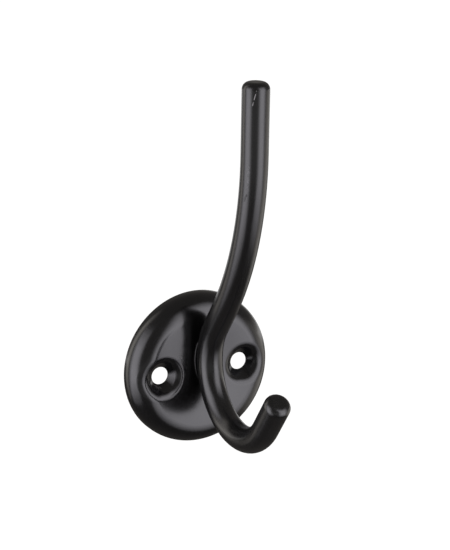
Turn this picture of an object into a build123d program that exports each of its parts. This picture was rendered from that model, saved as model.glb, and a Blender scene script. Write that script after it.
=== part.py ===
from build123d import *
import math
import os

# Single wall hook: one bent round bar welded to a pressed round back plate.
# The wall is the plane Y = 0 and the hook stands out of it towards -Y.
# +Z is up and the origin is the centre of the plate's back. All lengths are millimetres.

# Back plate
plate_radius = 25.0
plate_depth = 6.95
sheet_thickness = 1.2
rim_radius = 6.5
dish_slope = 5.5
dish_outer_slope = 2.5
skirt_edge_radius = 0.3

# Screw holes, pressed in as countersinks left and right of the bar
hole_spacing = 28.5
hole_radius = 2.85
hole_depth = 4.1
land_length = 0.35
countersink_slope = 41.0
cone_cover = 0.1
countersink_lip_radius = 3.2
underside_lip_radius = 0.8
hole_edge_radius = 0.15

# Bar
bar_radius = 4.1
bar_end_radius = 2.2
weld_gap = 0.2
contact_height = 4.71
belly_radius = 19.25
upper_lean = 37.86
lower_turn = 143.57
tip_run = 13.7
rising_run = 9.74
reverse_radius = 92.7
reverse_turn = 34.72
top_run = 21.15

# Weld between the bar and the plate
weld_drop = 0.8
weld_half_width = 3.5
weld_half_height = 8.0
weld_rise = 0.8
weld_root = 0.4
weld_edge_radius = 0.25

# The plate's face is a shallow dish. It rises from its middle to dish_slope, eases to
# dish_outer_slope with the same radius turned the other way, and then rolls over the rim.
inner_sine = math.sin(math.radians(dish_slope))
outer_sine = math.sin(math.radians(dish_outer_slope))
inner_cosine = math.cos(math.radians(dish_slope))
outer_cosine = math.cos(math.radians(dish_outer_slope))
dish_radius = (plate_radius - rim_radius * (1 + outer_sine)) / (2 * inner_sine - outer_sine)
dish_rise = dish_radius * (1 + outer_cosine - 2 * inner_cosine)
rim_depth = plate_depth + dish_rise + rim_radius * (1 - outer_cosine)

# Depth is how far a point stands in front of the wall.
belly_depth = plate_depth + contact_height**2 / (2 * dish_radius) + weld_gap + bar_radius


with BuildPart() as back_plate:
    with BuildSketch(Plane.XY):
        with BuildLine():
            middle = JernArc((0, -plate_depth), (1, 0), dish_radius, -dish_slope)
            shoulder = JernArc(middle @ 1, middle % 1, dish_radius, dish_slope - dish_outer_slope)
            rim = JernArc(shoulder @ 1, shoulder % 1, rim_radius, 90 + dish_outer_slope)
            Polyline(rim @ 1, (plate_radius, 0), (0, 0), (0, -plate_depth))
        make_face()
    revolve(axis=Axis.Y)
    offset(amount=-sheet_thickness, openings=back_plate.faces().sort_by(Axis.Y)[-1])

    # The pressed cones stand into the hollow, as thick as the sheet they are pressed from.
    slope = math.radians(countersink_slope)
    cone_back = hole_depth - land_length
    cone_back_radius = hole_radius + sheet_thickness / math.cos(slope) - land_length * math.tan(slope)
    cone_height = plate_depth - cone_cover - cone_back
    with Locations(Plane.XZ.offset(cone_back)):
        with GridLocations(hole_spacing, 0, 2, 1):
            Cone(
                cone_back_radius,
                cone_back_radius + cone_height * math.tan(slope),
                cone_height,
                align=(Align.CENTER, Align.CENTER, Align.MIN),
            )
    mid_depth = (plate_depth + hole_depth) / 2
    roots = back_plate.edges(Select.LAST).filter_by_position(Axis.Y, -rim_depth, -mid_depth)
    fillet(roots.filter_by(GeomType.LINE, reverse=True), underside_lip_radius)
    with Locations(Plane.XZ.offset(rim_depth)):
        with GridLocations(hole_spacing, 0, 2, 1):
            CounterSinkHole(
                hole_radius,
                hole_radius + (rim_depth - hole_depth) * math.tan(slope),
                rim_depth,
                2 * countersink_slope,
            )
    lips = back_plate.edges(Select.LAST).filter_by_position(Axis.Y, -rim_depth, -mid_depth)
    fillet(lips, countersink_lip_radius)
    hole_walls = back_plate.faces().filter_by(GeomType.CYLINDER).sort_by(SortBy.AREA)[:2]
    fillet(hole_walls.edges().filter_by(GeomType.CIRCLE), hole_edge_radius)
    fillet(back_plate.faces().sort_by(Axis.Y)[-1].edges(), skirt_edge_radius)
back_plate.part.label = "back_plate"


with BuildPart() as hook_rod:
    with BuildLine(Plane.YZ) as bar_line:
        belly = CenterArc(
            (-belly_depth - belly_radius, contact_height), belly_radius, -lower_turn, lower_turn + upper_lean
        )
        Line(belly @ 0, belly @ 0 - (belly % 0) * tip_run)
        rise = Line(belly @ 1, belly @ 1 + (belly % 1) * rising_run)
        reverse = JernArc(rise @ 1, rise % 1, reverse_radius, -reverse_turn)
        Line(reverse @ 1, reverse @ 1 + (reverse % 1) * top_run)
    with BuildSketch(Plane(origin=bar_line.line @ 0, z_dir=bar_line.line % 0)):
        Circle(bar_radius)
    sweep(path=bar_line.line)
    fillet(hook_rod.faces().filter_by(GeomType.PLANE).edges(), bar_end_radius)
hook_rod.part.label = "hook_rod"


with BuildPart() as weld:
    with BuildSketch(Plane.XZ.offset(plate_depth - weld_root)):
        with Locations((0, contact_height - weld_drop)):
            Ellipse(weld_half_width, weld_half_height)
    extrude(amount=weld_root + weld_rise)
    fillet(weld.faces().sort_by(Axis.Y)[0].edges(), weld_edge_radius)
    add(back_plate.part, mode=Mode.SUBTRACT)
    add(hook_rod.part, mode=Mode.SUBTRACT)
weld.part.label = "weld"


os.makedirs("parts", exist_ok=True)
for piece in (back_plate, hook_rod, weld):
    export_step(piece.part, f"parts/{piece.part.label}.step")
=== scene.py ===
import math

import bpy
from mathutils import Matrix, Vector

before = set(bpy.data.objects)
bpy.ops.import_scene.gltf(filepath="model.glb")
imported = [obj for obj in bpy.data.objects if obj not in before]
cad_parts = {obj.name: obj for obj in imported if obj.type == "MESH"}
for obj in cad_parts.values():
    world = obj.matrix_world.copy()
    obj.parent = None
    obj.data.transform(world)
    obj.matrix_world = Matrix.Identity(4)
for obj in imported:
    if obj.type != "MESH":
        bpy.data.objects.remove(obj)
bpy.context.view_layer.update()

# Lengths in this file are metres and angles are degrees, unless a name says otherwise.
# Azimuth 0 is straight out of the wall and +90 is to the right of someone who faces the hook.

# Camera, at the photograph's angle
CAMERA_AZIMUTH = -28.65
CAMERA_ELEVATION = 15.80
CAMERA_ROLL = -0.75
CAMERA_PLACE = (-0.21506, -0.41566, 0.16233)
FOCAL_LENGTH_MM = 100.0
SENSOR_MM = 36.0
CLIP_RANGE = (0.01, 20.0)

# Floor and backdrop. Depth is how far a place lies behind the object, as the camera sees it.
FLOOR_HEIGHT = -1.5
FLOOR_RADIUS = 30.0
FLOOR_SIDES = 96
FLOOR_COLOUR = (0.32, 0.31, 0.295)
FLOOR_WHITE_FROM, FLOOR_WHITE_TO = 4.0, 8.0
FLOOR_SHEEN_FROM, FLOOR_SHEEN_TO = -1.0, -4.5
FLOOR_SHEEN = 0.36
ROOM_COLOUR = (0.21, 0.198, 0.185)
BACKGROUND_WHITE = (1.0, 1.0, 1.0)
BACKDROP_FROM, BACKDROP_TO = 0.80, 0.97
BACKDROP_TOP, BACKDROP_FOOT = 0.15, -0.05

# Softboxes: azimuth, elevation, width and height as angles, radiance, colour
STUDIO_CENTRE = (0.0, -0.02, 0.03)
SOFTBOX_DISTANCE = 0.6
COOL_LIGHT = (0.95, 0.93, 1.0)
WARM_LIGHT = (1.0, 0.95, 0.89)
SOFTBOXES = {
    "softbox_left": (-89, -1, 48, 72, 3.8, COOL_LIGHT),
    "softbox_back_left": (-135, 11, 21, 74, 1.8, WARM_LIGHT),
    "softbox_right": (24, 1, 48, 78, 3.8, COOL_LIGHT),
    "softbox_far_right": (82, -21, 50, 40, 1.25, WARM_LIGHT),
}

# A softbox is a stack of lamps, each a share of its size, so that its edge is soft.
SOFTBOX_SHARES = (0.62, 0.84, 1.06, 1.28)
SOFTBOX_LAYER_GAP = 0.002

# Paint. Cells are per metre, so 1400 is a grain of 0.7 mm, and depths are how deep the dents go.
DUST_COLOUR = (0.05, 0.047, 0.043)
BROAD_CELLS = 130.0
BROAD_DETAIL = 2
BROAD_DEPTH = 0.00002
PEEL_CELLS = 1400.0
PEEL_DETAIL = 3
PEEL_DEPTH = 0.0000025
SPECK_CELLS = 2600.0
SPECK_DETAIL = 2
SPECK_START, SPECK_END = 0.66, 0.76
SPECK_SHARE = 0.25

# Wear breaks a mark up where the peel noise is low.
WEAR_START, WEAR_END = 0.40, 0.58
WORN_ROUGHNESS = 0.6

# Marks: start, end, width, strength, colour. On the bar a broken scratch, a faint streak and a dark
# tick; on the plate a nick and a painted highlight below the left hole, where its cone catches light.
ROD_MARKS = [
    ((-0.0019, -0.0454, 0.0950), (-0.0028, -0.0446, 0.0909), 0.00017, 0.8, (0.30, 0.29, 0.29)),
    ((-0.0033, -0.0430, 0.0728), (-0.0032, -0.0422, 0.0660), 0.0005, 0.4, (0.12, 0.12, 0.125)),
    ((-0.0034, -0.0418, 0.0647), (-0.0036, -0.0410, 0.0628), 0.0004, 0.9, (0.004, 0.004, 0.004)),
]
PLATE_MARKS_AND_HIGHLIGHT = [
    ((-0.0090, -0.0076, 0.0071), (-0.0080, -0.0074, 0.0056), 0.0005, 0.6, (0.10, 0.10, 0.10)),
    # Painted highlight: the light that the cone of the left hole catches just below the hole.
    ((-0.0160, -0.0047, -0.0030), (-0.0150, -0.0052, -0.0036), 0.0009, 0.4, (0.10, 0.095, 0.09)),
]

# Finishes: colour, range of roughness, marks
PAINTS = {
    "back_plate": ((0.0035, 0.0035, 0.0038), (0.17, 0.22), PLATE_MARKS_AND_HIGHLIGHT),
    "hook_rod": ((0.0045, 0.0044, 0.0045), (0.21, 0.27), ROD_MARKS),
    "weld": ((0.005, 0.005, 0.0055), (0.20, 0.26), []),
}


def direction(azimuth, elevation):
    """Unit vector from the object towards a place in the studio."""
    turn = math.radians(azimuth)
    rise = math.radians(elevation)
    return Vector((math.sin(turn) * math.cos(rise), -math.cos(turn) * math.cos(rise), math.sin(rise)))


def make_camera():
    """The camera looks along its own -Z, turned by azimuth, elevation and roll."""
    back = direction(CAMERA_AZIMUTH, CAMERA_ELEVATION)
    level = direction(CAMERA_AZIMUTH + 90, 0)
    upright = back.cross(level)
    roll = math.radians(CAMERA_ROLL)
    right = math.cos(roll) * level + math.sin(roll) * upright
    up = math.cos(roll) * upright - math.sin(roll) * level
    data = bpy.data.cameras.new("photo_camera")
    data.lens = FOCAL_LENGTH_MM
    data.sensor_width = SENSOR_MM
    data.clip_start, data.clip_end = CLIP_RANGE
    camera = bpy.data.objects.new("photo_camera", data)
    camera.matrix_world = Matrix.Translation(CAMERA_PLACE) @ Matrix((right, up, back)).transposed().to_4x4()
    bpy.context.collection.objects.link(camera)
    bpy.context.scene.camera = camera


def make_softbox(name, azimuth, elevation, wide, tall, radiance, colour):
    """A soft light that faces the object and fades towards its edges."""
    towards = direction(azimuth, elevation)
    for layer, share in enumerate(SOFTBOX_SHARES):
        data = bpy.data.lights.new(f"{name}_{layer}", "AREA")
        data.shape = "RECTANGLE"
        data.color = colour
        data.size = 2 * SOFTBOX_DISTANCE * math.tan(math.radians(wide * share / 2))
        data.size_y = 2 * SOFTBOX_DISTANCE * math.tan(math.radians(tall * share / 2))
        data.energy = math.pi * data.size * data.size_y * radiance / len(SOFTBOX_SHARES)
        lamp = bpy.data.objects.new(data.name, data)
        lamp.location = Vector(STUDIO_CENTRE) + towards * (SOFTBOX_DISTANCE + SOFTBOX_LAYER_GAP * layer)
        lamp.rotation_euler = towards.to_track_quat("Z", "Y").to_euler()
        lamp.visible_camera = False
        bpy.context.collection.objects.link(lamp)


def ramp(nodes, links, value, start, end, most=1.0):
    """0 at start and most at end, smooth between them."""
    node = nodes.new("ShaderNodeMapRange")
    node.interpolation_type = "SMOOTHSTEP"
    node.inputs["From Min"].default_value = start
    node.inputs["From Max"].default_value = end
    node.inputs["To Max"].default_value = most
    links.new(value, node.inputs["Value"])
    return node.outputs["Result"]


def combine(nodes, links, operation, first, second):
    """Two values put together, by MULTIPLY or MAXIMUM."""
    node = nodes.new("ShaderNodeMath")
    node.operation = operation
    links.new(first, node.inputs[0])
    links.new(second, node.inputs[1])
    return node.outputs[0]


def whiteness(nodes, links, mirrored):
    """1 for rays from the camera or through glass, mirrored for gloss rays and 0 for all others."""
    path = nodes.new("ShaderNodeLightPath").outputs
    seen = combine(nodes, links, "MAXIMUM", path["Is Camera Ray"], path["Is Transmission Ray"])
    gloss = combine(nodes, links, "MULTIPLY", path["Is Glossy Ray"], mirrored)
    return combine(nodes, links, "MAXIMUM", seen, gloss)


def depth(nodes, links, place):
    """How far a place lies towards the backdrop, which is behind the object as the photograph sees it."""
    node = nodes.new("ShaderNodeVectorMath")
    node.operation = "DOT_PRODUCT"
    node.inputs[1].default_value = direction(CAMERA_AZIMUTH + 180, 0)
    links.new(place, node.inputs[0])
    return node.outputs["Value"]


def make_world():
    """White to the camera; in the object's gloss, white low behind it and a dim room elsewhere."""
    world = bpy.data.worlds.new("studio")
    bpy.context.scene.world = world
    world.use_nodes = True
    nodes, links = world.node_tree.nodes, world.node_tree.links
    nodes.clear()
    place = nodes.new("ShaderNodeTexCoord").outputs["Generated"]
    split = nodes.new("ShaderNodeSeparateXYZ")
    links.new(place, split.inputs[0])
    behind = ramp(nodes, links, depth(nodes, links, place), BACKDROP_FROM, BACKDROP_TO)
    low = ramp(nodes, links, split.outputs["Z"], BACKDROP_TOP, BACKDROP_FOOT)
    white = whiteness(nodes, links, combine(nodes, links, "MULTIPLY", behind, low))
    mix = nodes.new("ShaderNodeMix")
    mix.data_type = "RGBA"
    mix.inputs["A"].default_value = (*ROOM_COLOUR, 1.0)
    mix.inputs["B"].default_value = (*BACKGROUND_WHITE, 1.0)
    links.new(white, mix.inputs["Factor"])
    background = nodes.new("ShaderNodeBackground")
    links.new(mix.outputs["Result"], background.inputs["Color"])
    output = nodes.new("ShaderNodeOutputWorld")
    links.new(background.outputs[0], output.inputs["Surface"])


def make_floor():
    """A wide pale floor far below the object; in the gloss it is white behind and pale in front."""
    bpy.ops.mesh.primitive_circle_add(
        vertices=FLOOR_SIDES, radius=FLOOR_RADIUS, fill_type="NGON", location=(0, 0, FLOOR_HEIGHT)
    )
    floor = bpy.context.object
    floor.name = "floor"
    material = bpy.data.materials.new("pale_floor")
    material.use_nodes = True
    nodes, links = material.node_tree.nodes, material.node_tree.links
    nodes.clear()
    place = nodes.new("ShaderNodeNewGeometry").outputs["Position"]
    distance = depth(nodes, links, place)
    behind = ramp(nodes, links, distance, FLOOR_WHITE_FROM, FLOOR_WHITE_TO)
    before = ramp(nodes, links, distance, FLOOR_SHEEN_FROM, FLOOR_SHEEN_TO, FLOOR_SHEEN)
    white = whiteness(nodes, links, combine(nodes, links, "MAXIMUM", behind, before))
    paper = nodes.new("ShaderNodeBsdfDiffuse")
    paper.inputs["Color"].default_value = (*FLOOR_COLOUR, 1.0)
    glow = nodes.new("ShaderNodeEmission")
    lift = nodes.new("ShaderNodeMixShader")
    links.new(white, lift.inputs[0])
    links.new(glow.outputs[0], lift.inputs[2])
    add = nodes.new("ShaderNodeAddShader")
    links.new(paper.outputs[0], add.inputs[0])
    links.new(lift.outputs[0], add.inputs[1])
    output = nodes.new("ShaderNodeOutputMaterial")
    links.new(add.outputs[0], output.inputs["Surface"])
    floor.data.materials.append(material)


def noise(nodes, links, place, scale, detail):
    """Smooth noise between 0 and 1, its scale in cells per metre."""
    node = nodes.new("ShaderNodeTexNoise")
    node.inputs["Scale"].default_value = scale
    node.inputs["Detail"].default_value = detail
    links.new(place, node.inputs["Vector"])
    return node.outputs["Fac"]


def spread(nodes, links, value, low, high):
    """Maps 0 to 1 onto low to high."""
    node = nodes.new("ShaderNodeMapRange")
    node.inputs["To Min"].default_value = low
    node.inputs["To Max"].default_value = high
    links.new(value, node.inputs["Value"])
    return node.outputs["Result"]


def dents(nodes, links, height, distance, under):
    """A bump on top of the one before it; distance is its depth in metres."""
    node = nodes.new("ShaderNodeBump")
    node.inputs["Strength"].default_value = 1.0
    node.inputs["Distance"].default_value = distance
    links.new(height, node.inputs["Height"])
    if under is not None:
        links.new(under, node.inputs["Normal"])
    return node.outputs["Normal"]


def near_line(nodes, links, place, start, end, width):
    """1 on a straight line between two points of the part, fading to 0 at width from it."""
    along = Vector(end) - Vector(start)
    offset = nodes.new("ShaderNodeVectorMath")
    offset.operation = "SUBTRACT"
    offset.inputs[1].default_value = start
    links.new(place, offset.inputs[0])
    run = nodes.new("ShaderNodeVectorMath")
    run.operation = "DOT_PRODUCT"
    run.inputs[1].default_value = along / along.length_squared
    links.new(offset.outputs[0], run.inputs[0])
    kept = nodes.new("ShaderNodeClamp")
    links.new(run.outputs["Value"], kept.inputs["Value"])
    foot = nodes.new("ShaderNodeVectorMath")
    foot.operation = "SCALE"
    foot.inputs[0].default_value = along
    links.new(kept.outputs[0], foot.inputs["Scale"])
    gap = nodes.new("ShaderNodeVectorMath")
    gap.operation = "DISTANCE"
    links.new(offset.outputs[0], gap.inputs[0])
    links.new(foot.outputs[0], gap.inputs[1])
    return ramp(nodes, links, gap.outputs["Value"], width, width / 3)


def satin_paint(name, colour, roughness, marks):
    """Black satin paint: fine orange peel, broad unevenness, thin dust, and the part's marks."""
    material = bpy.data.materials.new(name)
    material.use_nodes = True
    nodes, links = material.node_tree.nodes, material.node_tree.links
    shader = nodes["Principled BSDF"]
    place = nodes.new("ShaderNodeTexCoord").outputs["Object"]

    broad = noise(nodes, links, place, BROAD_CELLS, BROAD_DETAIL)
    peel = noise(nodes, links, place, PEEL_CELLS, PEEL_DETAIL)
    speck = noise(nodes, links, place, SPECK_CELLS, SPECK_DETAIL)
    speck = ramp(nodes, links, speck, SPECK_START, SPECK_END)

    normal = dents(nodes, links, broad, BROAD_DEPTH, None)
    normal = dents(nodes, links, peel, PEEL_DEPTH, normal)
    links.new(normal, shader.inputs["Normal"])

    dust = nodes.new("ShaderNodeMix")
    dust.data_type = "RGBA"
    dust.inputs["A"].default_value = (*colour, 1.0)
    dust.inputs["B"].default_value = (*DUST_COLOUR, 1.0)
    links.new(spread(nodes, links, speck, 0.0, SPECK_SHARE), dust.inputs["Factor"])
    finish = dust.outputs["Result"]
    rough = spread(nodes, links, broad, *roughness)
    # Marks are the part's wear, and on the plate also a painted highlight below the left hole.
    for start, end, width, share, tint in marks:
        line = near_line(nodes, links, place, start, end, width)
        wear_and_highlight = combine(nodes, links, "MULTIPLY", line, ramp(nodes, links, peel, WEAR_START, WEAR_END))
        layer = nodes.new("ShaderNodeMix")
        layer.data_type = "RGBA"
        layer.inputs["B"].default_value = (*tint, 1.0)
        wear_and_highlight = spread(nodes, links, wear_and_highlight, 0.0, share)
        links.new(finish, layer.inputs["A"])
        links.new(wear_and_highlight, layer.inputs["Factor"])
        finish = layer.outputs["Result"]
        dull = nodes.new("ShaderNodeMix")
        dull.inputs["B"].default_value = WORN_ROUGHNESS
        links.new(rough, dull.inputs["A"])
        links.new(wear_and_highlight, dull.inputs["Factor"])
        rough = dull.outputs["Result"]
    links.new(finish, shader.inputs["Base Color"])
    links.new(rough, shader.inputs["Roughness"])
    return material


def dress(node, material):
    """Gives a CAD node its finished material."""
    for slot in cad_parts[node].material_slots:
        slot.material = material


make_camera()
make_world()
make_floor()
for name, settings in SOFTBOXES.items():
    make_softbox(name, *settings)
for node, (colour, roughness, marks) in PAINTS.items():
    dress(node, satin_paint(f"satin_black_{node}", colour, roughness, marks))

bpy.context.scene.view_settings.view_transform = "Standard"
